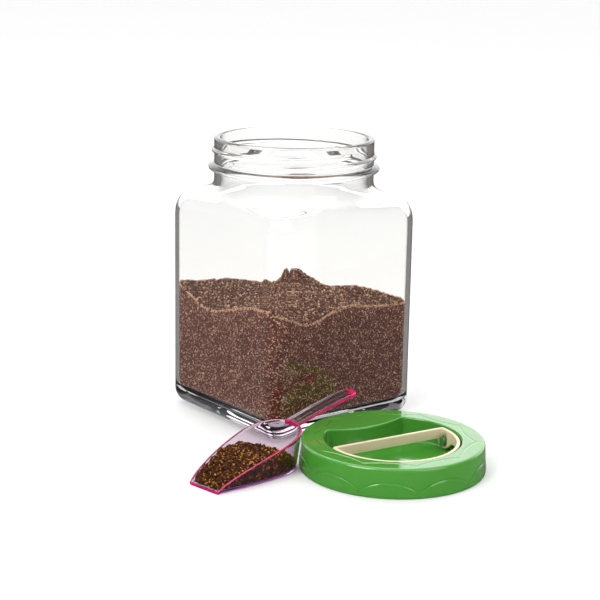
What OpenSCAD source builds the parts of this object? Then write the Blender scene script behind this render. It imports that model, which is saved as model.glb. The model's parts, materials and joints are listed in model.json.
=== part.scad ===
// Square wide-mouth glass storage jar, standing open, with its green screw lid and a
// clear scoop lying in front of it. The lid carries a D-shaped handle that folds into a
// round well in its top. Z = 0 is the table, the jar's axis is the Z axis, and the jar's
// four flat sides face +X, -X, +Y and -Y.

/* [Jar body] */
// Width of the square body across its flat sides
body_w = 120; // [112:1:126]
// Radius of the four upright corners
corner_r = 13; // [12:1:18]
// Radius of the rounded heel around the base
heel_r = 11; // [6:1:12]
// Thickness of the side walls
glass_t = 3.2; // [2.4:0.1:4]
// Thickness of the heavy base
base_t = 9; // [5:0.5:12]
// Height of the shoulder where it meets the sides
shoulder_z = 148; // [140:1:152]

/* [Jar neck] */
// Overall height of the jar
jar_h = 185.2; // [183:0.1:190]
// Outer radius of the neck between the threads
neck_r = 52.6; // [52:0.1:53]
// Radius of the mouth
mouth_r = 48.5; // [47.5:0.1:49]
// Outer radius of the screw thread on the glass
thread_r = 54.2; // [53.8:0.1:54.4]
// Rise of the screw thread in one turn
pitch = 6; // [5.5:0.1:6.4]
// Turns of thread on the glass
thread_turns = 1.28; // [1:0.02:1.4]
// Outer radius of the bead below the thread
bead_r = 56.3; // [55:0.1:57]
// Height of the bead's middle
bead_z = 165.5; // [164:0.1:166]

/* [Lid] */
// Outer radius of the skirt at its lower edge
lid_r = 57.4; // [57.2:0.1:58.5]
// Height of the lid
lid_h = 18.2; // [17.6:0.1:19]
// Inner radius of the skirt
skirt_in_r = 54.8; // [54.7:0.1:55]
// Radius of the round well in the lid's top
well_r = 42; // [41.6:0.1:42.4]
// Height of the well's floor above the skirt's lower edge
well_floor_z = 4; // [3:0.1:4.2]
// Wall thickness of the moulded lid
lid_t = 1.8; // [1.5:0.1:2]
// Distance from the lid's centre to the front edge of the platform behind the well
platform_v = 24.7; // [22:0.1:28]

/* [Handle] */
// Outer radius of the handle's bow
bow_r = 41; // [40.4:0.1:41.2]
// Thickness of the handle's band
band_t = 2.2; // [1.8:0.1:2.6]
// Height of the handle's band
band_h = 6.5; // [5:0.1:7]
// Distance from the pivot line back to the handle's straight bar
bar_v = 5.1; // [4.6:0.1:5.4]
// Height of the pivot line above the table
pivot_z = 10; // [9.8:0.1:10.6]
// Radius of the two pivot pins
pin_r = 2.8; // [2.4:0.1:3]

/* [Scoop] */
// Length of the scoop's bowl
bowl_l = 71; // [64:1:76]
// Width of the straight tip
tip_w = 24.6; // [20:0.2:28]
// Greatest width of the bowl's base
bowl_w = 35.6; // [32:0.2:38]
// Height of the rim at the back of the bowl
rim_h = 25.8; // [22:0.2:28]
// Wall thickness of the scoop
scoop_t = 1.6; // [1.2:0.1:2]
// Length of the scoop from the tip to the end of the handle
scoop_l = 129; // [120:1:130]
// Width of the scoop's handle
grip_w = 12; // [10:0.5:12.5]

/* [Contents] */
// Average level of the granules in the jar
fill_z = 77; // [60:1:90]
// Height of the granules heaped in the scoop
heap_z = 15; // [10:0.5:16]

/* [Hidden] */
$fn = 96;
eps = 0.01;

// Where the lid and the scoop lie on the table: centre of the lid, tip of the scoop, and
// the directions of the handle's pivot line and of the scoop.
lid_pos = [-22.1, -130.9, 0];
lid_turn = -7.4;
scoop_pos = [-139.2, -97.8, 0];
scoop_turn = 8.2;

// Jar
half_w = body_w / 2;
cavity_half = half_w - glass_t;
cavity_corner = corner_r - glass_t;
cavity_heel = 7;
neck_fillet = 4;
neck_foot_z = shoulder_z + 3;
foot_r = neck_r + neck_fillet;
foot_z = neck_foot_z + neck_fillet;
throat_round = foot_r - mouth_r;
throat_r = foot_r - throat_round * cos(45);
throat_z = foot_z - throat_round * sin(45);
lip_r = 1.8;
mouth_lip_r = 1.4;
bead_half = 2.4;
thread_z = 170.9;
thread_start = -183;
thread_depth = thread_r - neck_r;
thread_half = 1.5;

// Contents
granule_gap = 0.2;
// Each mound or hollow of the jar's granules: place, height and spread
mounds = [[-56, -42, 7, 19], [-56, 14, -5, 14], [-56, 56, 6, 14], [-32, -56, -6, 11],
          [2, -56, 4, 14], [56, 34, -7, 17], [20, 56, -4, 15], [44, 46, 9, 9],
          [-20, 56, 3, 18], [0, 0, 2, 24]];

// Lid
edge_r = 2;
skirt_draft = 0.8;
well_edge_r = 1.2;
platform_r = 55;
liner_t = 1;
fit_gap = 0.3;
lug_count = 8;
lug_angle = 34;
lug_z = 2.6;
lug_half = 1.2;
lug_depth = 1.4;
lug_sunk = 0.5;

// Handle and pins
pivot_clear = 0.05;
ear_r = 5;
pin_in = 36.9;
pin_head_r = 4;
pin_head_t = 1.2;
wall_out_r = well_r + lid_t;
handle_top = pivot_z + 7.5;

// Scoop
rim_front = 1.1;
rim_power = 0.68;
widest = 0.69 * bowl_l;
flare = 0.13;
grip_t = 3;
grip_ridge = 1;
grip_rise = 8.5;

// Points along an arc around [cx, cy], from angle a0 to a1
function arc(cx, cy, r, a0, a1, n = 8) =
    [for (i = [0:n]) let (a = a0 + (a1 - a0) * i / n) [cx + r * cos(a), cy + r * sin(a)]];

// Distance from the axis to the side of a rounded square, in the direction a
function reach(a, half, r) =
    let (big = max(abs(cos(a)), abs(sin(a))), small = min(abs(cos(a)), abs(sin(a))),
         c = half - r, m = (big + small) * c)
    half * small / big <= c ? half / big : m + sqrt(m * m - 2 * c * c + r * r);

// Level of the jar's granules at [x, y]
function level(x, y, i = 0) = i == len(mounds) ? fill_z :
    let (m = mounds[i], d = pow(x - m[0], 2) + pow(y - m[1], 2))
    m[2] * exp(-d / (2 * m[3] * m[3])) + level(x, y, i + 1);

// Height of the scoop's rim and half-width of its base, s along from the tip
function rim(s) = rim_front + (rim_h - rim_front) * pow(max(0, min(s / bowl_l, 1)), rim_power);
function half_base(s) = s < widest
    ? tip_w / 2 + (bowl_w - tip_w) / 2 * sin(90 * s / widest)
    : bowl_w / 2 * sqrt(max(0, 1 - pow((s - widest) / (bowl_l - widest), 2)));

// Faces of a solid made of rings of n points: a first and a last point close its ends
function ring_faces(rings, n) = concat(
    [for (i = [0:n - 1]) [0, 1 + (i + 1) % n, 1 + i]],
    [for (k = [0:rings - 2], i = [0:n - 1], side = [0, 1])
        let (a = 1 + k * n, j = (i + 1) % n)
        side == 0 ? [a + i, a + j, a + n + j] : [a + i, a + n + j, a + n + i]],
    [for (i = [0:n - 1]) let (a = 1 + (rings - 1) * n, top = 1 + rings * n)
        [a + i, a + (i + 1) % n, top]]);

// Upright corner post whose profile is rounded at the heel and at the shoulder
module corner_post(r, z0, z1, low_r, high_r) {
    profile = concat([[0, z0]], arc(r - low_r, z0 + low_r, low_r, -90, 0),
                     arc(r - high_r, z1 - high_r, high_r, 0, 90), [[0, z1]]);
    rotate_extrude($fn = 32) polygon(profile);
}

// Square body with rounded corners, heel and shoulder, drawn up to a round neck
module square_body(half, r, z0, z1, low_r, high_r, top_r, top_z) {
    hull() {
        for (x = [-1, 1], y = [-1, 1]) translate([x * (half - r), y * (half - r), 0])
            corner_post(r, z0, z1, low_r, high_r);
        translate([0, 0, top_z - 1]) cylinder(r = top_r, h = 1, $fn = 64);
    }
}

// Right-hand screw thread around the neck, which swells from nothing at both ends
module neck_thread() {
    steps = round(thread_turns * 36);
    sunk = 0.4;
    rise = pitch * thread_turns;
    section = [[-sunk, -thread_half], [-sunk, thread_half],
               [1, thread_half * 0.35], [1, -thread_half * 0.35]];
    points = [for (k = [0:steps])
        let (a = thread_start + 360 * thread_turns * k / steps, z = thread_z + rise * k / steps,
             swell = min(1, k / 3 + 0.05, (steps - k) / 3 + 0.05))
        for (q = section)
            let (d = neck_r + (q[0] < 0 ? -sunk : thread_depth * swell))
            [d * cos(a), d * sin(a), z + q[1]]];
    n = len(section);
    sides = [for (k = [0:steps - 1], i = [0:n - 1])
        let (a = k * n, j = (i + 1) % n) [a + i, a + j, a + n + j, a + n + i]];
    caps = [[for (i = [n - 1:-1:0]) i], [for (i = [0:n - 1]) steps * n + i]];
    polyhedron(points, concat(sides, caps));
}

module neck() {
    rotate_extrude() polygon(concat(
        [[0, shoulder_z - 6], [foot_r, shoulder_z - 6]],
        arc(foot_r, foot_z, neck_fillet, 270, 180),
        [[neck_r, bead_z - bead_half]],
        arc(bead_r - 2, bead_z, 2, -70, 70),
        [[neck_r, bead_z + bead_half]],
        arc(neck_r - lip_r, jar_h - lip_r, lip_r, 0, 90),
        [[0, jar_h]]));
}

// Mouth, which widens below the neck so that the glass keeps its thickness there
module mouth_bore() {
    low = shoulder_z - 12;
    rotate_extrude() polygon(concat(
        [[0, low], [throat_r, low]],
        arc(foot_r, foot_z, throat_round, 225, 180),
        arc(mouth_r + mouth_lip_r, jar_h - mouth_lip_r, mouth_lip_r, 180, 90),
        [[mouth_r + mouth_lip_r, jar_h + 1], [0, jar_h + 1]]));
}

module glass_jar() {
    color([0.85, 0.92, 0.9, 0.4]) difference() {
        union() {
            square_body(half_w, corner_r, 0, shoulder_z, heel_r, corner_r, foot_r, neck_foot_z);
            neck();
            neck_thread();
        }
        square_body(cavity_half, cavity_corner, base_t, shoulder_z - glass_t, cavity_heel,
                    cavity_corner, throat_r, throat_z);
        mouth_bore();
    }
}

// The fill follows the jar's cavity below and the mounds and hollows on top
module jar_granules() {
    n = 72;
    half = cavity_half - granule_gap;
    corner = cavity_corner - granule_gap;
    heel = cavity_heel;
    bottom = base_t + granule_gap;
    heel_steps = 3;
    inner = [0.94, 0.82, 0.68, 0.52, 0.35, 0.18];
    lower = [for (k = [0:heel_steps], i = [0:n - 1])
        let (a = 360 * i / n, b = 90 * k / heel_steps, inset = heel * (1 - sin(b)),
             d = reach(a, half, corner) - inset)
        [d * cos(a), d * sin(a), bottom + heel * (1 - cos(b))]];
    upper = [for (t = concat([1], inner), i = [0:n - 1])
        let (a = 360 * i / n, d = reach(a, half, corner) * t, x = d * cos(a), y = d * sin(a))
        [x, y, level(x, y)]];
    points = concat([[0, 0, bottom]], lower, upper, [[0, 0, level(0, 0)]]);
    rings = heel_steps + 1 + len(inner) + 1;
    faces = ring_faces(rings, n);
    color([0.43, 0.28, 0.22]) polyhedron(points, [for (f = faces) [f[2], f[1], f[0]]]);
}

// Places a lid piece where the lid lies, with the pivot line along local X
module on_lid() {
    translate(lid_pos) rotate([0, 0, lid_turn]) children();
}

// Interrupted thread inside the skirt: short lugs, each a step higher than the last
module thread_lugs() {
    for (i = [0:lug_count - 1]) rotate([0, 0, i * 360 / lug_count])
        translate([0, 0, lug_z + i * pitch / lug_count]) rotate_extrude(angle = lug_angle)
            polygon([[skirt_in_r + lug_sunk, -lug_half], [skirt_in_r + lug_sunk, lug_half],
                     [skirt_in_r - lug_depth, lug_half * 0.35],
                     [skirt_in_r - lug_depth, -lug_half * 0.35]]);
}

module lid_shell() {
    ceiling = lid_h - lid_t;
    color([0.25, 0.6, 0.22]) on_lid() difference() {
        union() {
            // Skirt, top ring, well wall and well floor in one moulding
            rotate_extrude() polygon(concat(
                [[0, well_floor_z - lid_t], [wall_out_r, well_floor_z - lid_t],
                 [wall_out_r, ceiling], [skirt_in_r, ceiling], [skirt_in_r, 0], [lid_r, 0]],
                arc(lid_r - skirt_draft - edge_r, lid_h - edge_r, edge_r, 0, 90),
                arc(well_r + well_edge_r, lid_h - well_edge_r, well_edge_r, 90, 180),
                [[well_r, well_floor_z], [0, well_floor_z]]));
            // Platform that closes the back of the well, with a gently bowed front edge
            intersection() {
                translate([0, 0, well_floor_z - lid_t])
                    cylinder(r = wall_out_r - eps, h = lid_h - well_floor_z + lid_t);
                translate([0, platform_v + platform_r, 0]) cylinder(r = platform_r, h = lid_h);
            }
            thread_lugs();
        }
        // Hollow under the platform
        intersection() {
            cylinder(r = well_r, h = ceiling);
            translate([0, platform_v + platform_r, -1])
                cylinder(r = platform_r - lid_t, h = ceiling + 1);
        }
        for (side = [0, 180]) rotate([0, 0, side]) translate([pin_in, 0, pivot_z])
            rotate([0, 90, 0]) cylinder(r = pin_r, h = wall_out_r + 1 - pin_in);
    }
}

module lid_liner() {
    top = lid_h - lid_t - fit_gap;
    color([0.93, 0.93, 0.9]) on_lid() translate([0, 0, top - liner_t]) difference() {
        cylinder(r = skirt_in_r - fit_gap, h = liner_t);
        translate([0, 0, -1]) cylinder(r = wall_out_r + pin_head_t + 1, h = liner_t + 2);
    }
}

// Headed pins pressed through the well's wall from behind; their ends carry the handle
module pivot_pins() {
    chamfer = 0.4;
    color([0.2, 0.5, 0.2]) on_lid() for (side = [0, 180]) rotate([0, 0, side])
        translate([0, 0, pivot_z]) rotate([0, 90, 0]) rotate_extrude() polygon(
            [[0, pin_in], [pin_r - chamfer, pin_in], [pin_r, pin_in + chamfer],
             [pin_r, wall_out_r + eps], [pin_head_r, wall_out_r + eps],
             [pin_head_r, wall_out_r + pin_head_t], [0, wall_out_r + pin_head_t]]);
}

// Outline of the handle seen from above, shrunk by inset
module handle_outline(inset) {
    intersection() {
        circle(r = bow_r - inset);
        translate([-bow_r, -bow_r]) square([2 * bow_r, bow_r + bar_v - inset]);
    }
}

module band_ring(h) {
    linear_extrude(h) difference() {
        handle_outline(0);
        handle_outline(band_t);
    }
}

module handle() {
    drop = handle_top - pivot_z;
    color([0.8, 0.76, 0.62]) on_lid() difference() {
        union() {
            translate([0, 0, handle_top - band_h]) band_ring(band_h);
            // Ears that hang from the band's ends and turn on the pins
            intersection() {
                band_ring(lid_h);
                translate([0, 0, pivot_z]) rotate([0, 90, 0]) union() {
                    cylinder(r = ear_r, h = 4 * bow_r, center = true);
                    translate([-drop, -ear_r, -2 * bow_r]) cube([drop, 2 * ear_r, 4 * bow_r]);
                }
            }
        }
        translate([0, 0, pivot_z]) rotate([0, 90, 0])
            cylinder(r = pin_r + pivot_clear, h = 4 * bow_r, center = true);
    }
}

module on_scoop() {
    translate(scoop_pos) rotate([0, 0, scoop_turn]) children();
}

// Outline of the bowl at height z, shrunk by inset; open runs it out past the tip
module bowl_outline(z, inset, open) {
    n = 20;
    grow = flare * z - inset;
    back = bowl_l - widest;
    front = [for (i = [0:n]) let (s = widest * i / n) [s, half_base(s) + grow]];
    rear = [for (i = [1:n]) let (a = 90 * i / n)
        [widest + (back + grow) * sin(a), (bowl_w / 2 + grow) * cos(a)]];
    right = concat(open ? [[-5, tip_w / 2 + grow]] : [], front, rear);
    polygon(concat(right, [for (i = [len(right) - 2:-1:0]) [right[i][0], -right[i][1]]]));
}

module bowl_block(z0, inset, open) {
    top = 30;
    hull() {
        translate([0, 0, z0]) linear_extrude(eps) bowl_outline(z0, inset, open);
        translate([0, 0, top]) linear_extrude(eps) bowl_outline(top, inset, open);
    }
}

// Solid below the line z = height(s), wide enough to cut the whole bowl
module below(line) {
    translate([0, 50, 0]) rotate([90, 0, 0]) linear_extrude(100) polygon(line);
}

module scoop() {
    n = 16;
    past = 12;
    rim_line = concat([[-10, -1], [-10, rim(0)]],
                      [for (i = [0:n]) [bowl_l * i / n, rim(bowl_l * i / n)]],
                      [[bowl_l + past, rim_h], [bowl_l + past, -1]]);
    color([0.95, 0.55, 0.75, 0.5]) on_scoop() {
        difference() {
            intersection() {
                bowl_block(0, 0, false);
                below(rim_line);
            }
            bowl_block(scoop_t, scoop_t, true);
        }
        grip();
    }
}

// Handle of the scoop: a gently rising bar with a ridge along its top and a round end
module grip() {
    n = 14;
    start = bowl_l + 1.6;
    length = scoop_l - start;
    function lift(k) = grip_rise * sin(90 * k) * 0.55 + grip_rise * k * 0.45;
    base = rim_h - grip_t;
    module bar(low, high) {
        line = concat([for (i = [0:n]) [start + length * i / n, base + low + lift(i / n)]],
                      [for (i = [n:-1:0]) [start + length * i / n, base + high + lift(i / n)]]);
        below(line);
    }
    module plan(w) {
        linear_extrude(60) hull() {
            translate([start, -w / 2]) square([1, w]);
            translate([scoop_l - w / 2, 0]) circle(d = w);
        }
    }
    intersection() {
        bar(0, grip_t);
        plan(grip_w);
    }
    intersection() {
        bar(grip_t - eps, grip_t + grip_ridge);
        translate([start, -1.5, 0]) cube([length - grip_w / 2, 3, 60]);
    }
}

module scoop_granules() {
    n = 12;
    gap = scoop_t + granule_gap;
    rear = 0.94 * bowl_l;
    crest = 0.68 * bowl_l;
    function heap(s) = s < crest
        ? min(rim(s) - 0.6, heap_z)
        : scoop_t + 0.5 + (heap_z - scoop_t) * pow(max(0, 1 - (s - crest) / (rear - crest)), 0.8);
    line = concat([[1, scoop_t + granule_gap]],
                  [for (i = [1:n]) let (s = rear * i / n) [s, max(gap + 0.2, heap(s))]],
                  [[rear + 1, gap]]);
    color([0.36, 0.2, 0.1]) on_scoop() intersection() {
        bowl_block(gap, gap, true);
        below(line);
    }
}

glass_jar();
jar_granules();
lid_shell();
lid_liner();
pivot_pins();
handle();
scoop();
scoop_granules();
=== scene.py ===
"""Looks of a square glass storage jar with its granules, its green screw lid with a folding
handle, and a clear scoop. Every piece is placed on the packed CAD frame, in metres."""

import json
import math

import bpy
import numpy as np
from mathutils import Matrix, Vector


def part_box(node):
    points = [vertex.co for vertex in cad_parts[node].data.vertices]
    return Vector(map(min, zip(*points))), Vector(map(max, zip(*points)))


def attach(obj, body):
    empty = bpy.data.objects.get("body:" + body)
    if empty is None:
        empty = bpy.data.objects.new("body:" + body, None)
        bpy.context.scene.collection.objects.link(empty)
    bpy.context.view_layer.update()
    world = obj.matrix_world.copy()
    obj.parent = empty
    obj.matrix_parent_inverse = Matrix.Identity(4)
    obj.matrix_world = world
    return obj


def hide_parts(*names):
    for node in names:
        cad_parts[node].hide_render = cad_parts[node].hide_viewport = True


bl_info = {
    "name": "Storage Jar with Lid and Scoop",
    "version": (1, 0, 0),
    "blender": (4, 5, 0),
    "location": "3D View > Sidebar > Storage Jar",
    "description": "Builds a glass storage jar, its screw lid with a folding handle, and a scoop",
    "category": "Add Mesh",
}

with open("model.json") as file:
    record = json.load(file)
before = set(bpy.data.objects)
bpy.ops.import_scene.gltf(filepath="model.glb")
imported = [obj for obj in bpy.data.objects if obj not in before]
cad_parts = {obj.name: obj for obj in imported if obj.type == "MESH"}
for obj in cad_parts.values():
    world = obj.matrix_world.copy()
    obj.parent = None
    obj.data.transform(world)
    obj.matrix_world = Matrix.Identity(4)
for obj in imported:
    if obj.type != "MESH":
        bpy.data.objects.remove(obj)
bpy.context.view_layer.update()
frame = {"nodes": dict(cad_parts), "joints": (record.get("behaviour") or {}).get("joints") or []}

MM = 0.001
JOINTS = {joint["name"]: joint for joint in frame["joints"]}
LID_CENTRE = np.array(JOINTS["lid_turn"]["pos_m"][:2]) / MM
PIVOT_Z = JOINTS["handle_fold"]["pos_m"][2] / MM
PIVOT_AXIS = np.array(JOINTS["handle_fold"]["axis"][:2])
LID_TURN = math.atan2(-PIVOT_AXIS[1], -PIVOT_AXIS[0])
JAR_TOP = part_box("glass_jar")[1].z / MM


# ------------------------------------------------------------------ sizes and colours

def length(name, default_mm, description):
    """A size property, shown in the scene's units."""
    return bpy.props.FloatProperty(name=name, description=description, default=default_mm * MM,
                                   min=0.0, subtype="DISTANCE", unit="LENGTH")


def colour(name, default, description):
    """A colour property, linear red, green and blue."""
    return bpy.props.FloatVectorProperty(name=name, description=description, default=default,
                                         size=3, min=0.0, max=1.0, subtype="COLOR")


class JarSettings(bpy.types.PropertyGroup):
    """Sizes of the glass jar and what fills it."""

    body_width: length("Body Width", 120, "Width across the flat sides")
    corner_radius: length("Corner Radius", 13, "Radius of the four upright corners")
    heel_radius: length("Heel Radius", 11, "Radius of the rounded heel around the base")
    wall: length("Wall", 3.2, "Thickness of the glass in the side walls")
    base: length("Base", 9, "Thickness of the heavy base")
    neck_radius: length("Neck Radius", 52.6, "Outer radius of the neck between the threads")
    mouth_radius: length("Mouth Radius", 48.5, "Radius of the mouth")
    bead_radius: length("Bead Radius", 56.3, "Outer radius of the bead below the thread")
    thread_radius: length("Thread Radius", 54.2, "Outer radius of the screw thread")
    fill_level: length("Fill Level", 77, "Average level of the granules")
    glass_colour: colour("Glass", (0.985, 0.985, 0.975), "Tint of light that passes the glass")


class LidSettings(bpy.types.PropertyGroup):
    """Sizes of the lid, its handle and its pins."""

    radius: length("Lid Radius", 57.4, "Outer radius at the skirt's lower edge")
    height: length("Lid Height", 18.2, "Height of the lid")
    skirt_inside: length("Skirt Inside", 54.8, "Inner radius of the skirt")
    well_radius: length("Well Radius", 42, "Radius of the round well in the top")
    well_floor: length("Well Floor", 4, "Height of the well's floor")
    wall: length("Lid Wall", 1.8, "Wall thickness of the moulding")
    platform: length("Platform", 24.7, "Distance from the centre to the platform's front edge")
    bow_radius: length("Bow Radius", 41, "Outer radius of the handle's bow")
    band: length("Band", 2.2, "Thickness of the handle's band")
    band_height: length("Band Height", 6.5, "Height of the handle's band")
    bar_back: length("Bar Back", 5.1, "Distance from the pivot line to the bar's outer face")
    plastic_colour: colour("Lid Plastic", (0.070, 0.31, 0.035), "Colour of the lid")
    handle_colour: colour("Handle Plastic", (0.86, 0.70, 0.50), "Colour of the handle")


class ScoopSettings(bpy.types.PropertyGroup):
    """Sizes of the scoop and its heap of granules."""

    tip_x: bpy.props.FloatProperty(name="Tip X", description="Place of the scoop's tip along X",
                                   default=-139.2 * MM, subtype="DISTANCE", unit="LENGTH")
    tip_y: bpy.props.FloatProperty(name="Tip Y", description="Place of the scoop's tip along Y",
                                   default=-97.8 * MM, subtype="DISTANCE", unit="LENGTH")
    turn: bpy.props.FloatProperty(name="Turn", description="Direction in which the scoop points",
                                  default=math.radians(8.2), subtype="ANGLE", unit="ROTATION")
    bowl_length: length("Bowl Length", 71, "Length of the bowl")
    tip_width: length("Tip Width", 24.6, "Width of the straight tip")
    bowl_width: length("Bowl Width", 35.6, "Greatest width of the bowl's base")
    rim_height: length("Rim Height", 25.8, "Height of the rim at the back of the bowl")
    wall: length("Scoop Wall", 1.6, "Wall thickness of the scoop")
    full_length: length("Scoop Length", 129, "Length from the tip to the end of the handle")
    grip_width: length("Grip Width", 12, "Width of the handle")
    acrylic_colour: colour("Acrylic", (0.78, 0.64, 0.74), "Tint of light that passes the acrylic")
    edge_colour: colour("Acrylic Edge", (0.62, 0.008, 0.14), "Colour that glows at the edges")


class StageSettings(bpy.types.PropertyGroup):
    """Camera, floor and light."""

    lens: bpy.props.FloatProperty(name="Lens", description="Focal length in millimetres",
                                  default=95.34, min=10.0)
    floor_radius: length("Floor Radius", 9000, "Radius of the floor")
    floor_colour: colour("Floor", (0.90, 0.90, 0.90), "Colour of the floor")


# ------------------------------------------------------------------ building surfaces

def add_mesh(name, points, faces, materials=(), spots=None):
    """Put points in millimetres, and face index arrays (quads, triangles), into one object.

    spots is the material slot number of every face, in the order of the faces."""
    mesh = bpy.data.meshes.new(name)
    faces = [np.asarray(f, np.int32) for f in faces if len(f)]
    corners = np.concatenate([f.ravel() for f in faces])
    sizes = np.concatenate([np.full(len(f), f.shape[1], np.int32) for f in faces])
    starts = np.concatenate([[0], np.cumsum(sizes)[:-1]]).astype(np.int32)
    mesh.vertices.add(len(points))
    mesh.vertices.foreach_set("co", (np.asarray(points) * MM).astype(np.float32).ravel())
    mesh.loops.add(len(corners))
    mesh.loops.foreach_set("vertex_index", corners)
    mesh.polygons.add(len(starts))
    mesh.polygons.foreach_set("loop_start", starts)
    if spots is not None:
        mesh.polygons.foreach_set("material_index", np.asarray(spots, np.int32))
    mesh.update(calc_edges=True)
    mesh.validate()
    mesh.shade_smooth()
    for material in materials:
        mesh.materials.append(material)
    piece = bpy.data.objects.new(name, mesh)
    bpy.context.scene.collection.objects.link(piece)
    return piece


def outward(points, faces):
    """The same faces, each turned over if the volume they enclose comes out negative.

    The volume is the sum over the triangles of a . (b x c) / 6."""
    volume = 0.0
    for part in (np.asarray(f) for f in faces if len(f)):
        for i in range(1, part.shape[1] - 1):
            a, b, c = (points[part[:, j]] for j in (0, i, i + 1))
            volume += np.einsum("ij,ij", a, np.cross(b, c))
    return faces if volume > 0 else [f[:, ::-1] if len(f) else f for f in faces]


def skin(rings, first=None, last=None, loop=False):
    """Points and faces of a skin over rings of n points, an array (rows, n, 3).

    A quad joins points i and i + 1 of a ring to those of the next. A pole closes each end
    with triangles, or loop joins the last ring to the first. Closed skins face outward."""
    rows, n = rings.shape[:2]
    index = np.arange(rows * n).reshape(rows, n)
    ahead = np.roll(index, -1, axis=1)
    if loop:
        index, ahead = np.vstack([index, index[:1]]), np.vstack([ahead, ahead[:1]])
    quads = np.stack([index[:-1], ahead[:-1], ahead[1:], index[1:]], -1).reshape(-1, 4)
    points, triangles = [rings.reshape(-1, 3)], []
    count = rows * n
    if first is not None:
        points.append([first])
        triangles.append(np.stack([ahead[0], index[0], np.full(n, count)], -1))
        count += 1
    if last is not None:
        points.append([last])
        triangles.append(np.stack([index[-1], ahead[-1], np.full(n, count)], -1))
    points, faces = np.vstack(points), [quads, np.vstack(triangles) if triangles else []]
    closed = loop or (first is not None and last is not None)
    return points, outward(points, faces) if closed else faces


def round_rings(angle, *rows):
    """Rings around the Z axis, x = r cos a and y = r sin a, for rows of r and z. Each of those
    is a number, or an array by row, by angle or by both."""
    grids = []
    for radius, height in rows:
        radius, height, _ = np.broadcast_arrays(radius, height, angle[None])
        grids.append(np.stack([radius * np.cos(angle), radius * np.sin(angle), height], -1))
    return np.concatenate(grids)


def turned(points, angle, centre=(0.0, 0.0)):
    """Points turned about the Z axis by angle, then moved in X and Y to centre."""
    x, y = points[..., 0], points[..., 1]
    c, s = math.cos(angle), math.sin(angle)
    return np.stack([x * c - y * s + centre[0], x * s + y * c + centre[1], points[..., 2]], -1)


def column(*stretches):
    """Numbers of several stretches, one after the other, as one column."""
    return np.concatenate([np.atleast_1d(s) for s in stretches]).astype(float)[:, None]


def span(first, last, count):
    """Numbers evenly from first to last, as one column."""
    return np.linspace(first, last, count)[:, None]


def around(count, start=0.0):
    """Angles evenly once round from start."""
    return np.linspace(start, start + 2 * math.pi, count, endpoint=False)


def ease(x):
    """Smooth step from 0 at x = 0 to 1 at x = 1: x * x * (3 - 2 x)."""
    x = np.clip(x, 0, 1)
    return x * x * (3 - 2 * x)


def soft_min(first, second, soft):
    """The smaller of two numbers, with the step between them rounded over a range of soft."""
    h = np.clip(0.5 + 0.5 * (first - second) / soft, 0, 1)
    return first * (1 - h) + second * h - soft * h * (1 - h)


def arc(middle_r, middle_z, radius, bend, tall=None):
    """Radius and height of an arc about a middle, by bend angle; tall is its upright radius."""
    return middle_r + radius * np.cos(bend), middle_z + (tall or radius) * np.sin(bend)


def reach(angle, half, corner):
    """Distance from the axis to the side of a square with rounded corners.

    half / max(|cos|, |sin|) on a flat side. On a corner, with c = half - corner and
    m = c (|cos| + |sin|), it is m + sqrt(m^2 - 2 c^2 + corner^2)."""
    c, s = np.abs(np.cos(angle)), np.abs(np.sin(angle))
    big, small = np.maximum(c, s), np.minimum(c, s)
    centre = half - corner
    m = (big + small) * centre
    bend = m + np.sqrt(np.maximum(m * m - 2 * centre * centre + corner * corner, 0))
    return np.where(half / big * small <= centre, half / big, bend)


def grain_cloud(places, radii, pale, seed):
    """Points and faces of many small lumps, each a 20-sided solid pulled out of round, and
    their random tones, raised by each lump's paleness.

    Lump k is its place + R_k (j * unit corners) * radius, with j a random factor of 0.78 to
    1.12 on each corner and R_k a random turn."""
    rng = np.random.default_rng(seed)
    g = (1 + math.sqrt(5)) / 2
    corners = np.array([[-1, g, 0], [1, g, 0], [-1, -g, 0], [1, -g, 0], [0, -1, g], [0, 1, g],
                        [0, -1, -g], [0, 1, -g], [g, 0, -1], [g, 0, 1], [-g, 0, -1], [-g, 0, 1]])
    corners = corners / np.linalg.norm(corners[0])
    sides = np.array([[0, 11, 5], [0, 5, 1], [0, 1, 7], [0, 7, 10], [0, 10, 11], [1, 5, 9],
                      [5, 11, 4], [11, 10, 2], [10, 7, 6], [7, 1, 8], [3, 9, 4], [3, 4, 2],
                      [3, 2, 6], [3, 6, 8], [3, 8, 9], [4, 9, 5], [2, 4, 11], [6, 2, 10],
                      [8, 6, 7], [9, 8, 1]])
    count = len(places)
    q = rng.normal(size=(count, 4))
    w, x, y, z = (q / np.linalg.norm(q, axis=1, keepdims=True)).T
    turn = np.stack([np.stack([1 - 2 * (y * y + z * z), 2 * (x * y - z * w), 2 * (x * z + y * w)], -1),
                     np.stack([2 * (x * y + z * w), 1 - 2 * (x * x + z * z), 2 * (y * z - x * w)], -1),
                     np.stack([2 * (x * z - y * w), 2 * (y * z + x * w), 1 - 2 * (x * x + y * y)], -1)],
                    1)
    shaped = corners[None] * rng.uniform(0.78, 1.12, (count, 12, 1))
    points = places[:, None] + np.einsum("kij,kcj->kci", turn, shaped) * radii[:, None, None]
    faces = (sides[None] + 12 * np.arange(count)[:, None, None]).reshape(-1, 3)
    tone = rng.uniform(0, 1, (count, 3))
    tone += (1 - tone) * np.broadcast_to(pale, count)[:, None]
    tone = np.repeat(np.concatenate([tone, np.ones((count, 1))], 1), 12, 0)
    return points.reshape(-1, 3), [[], faces], tone


def add_grains(name, cloud, material, place=None):
    """A mesh of loose grains, with each grain's tone in a colour attribute."""
    points, faces, tone = cloud
    if place:
        points = turned(points, *place)
    piece = add_mesh(name, points, faces, [material])
    shade = piece.data.attributes.new("tone", "FLOAT_COLOR", "POINT")
    shade.data.foreach_set("color", tone.astype(np.float32).ravel())
    return piece

# ------------------------------------------------------------------ materials

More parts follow.
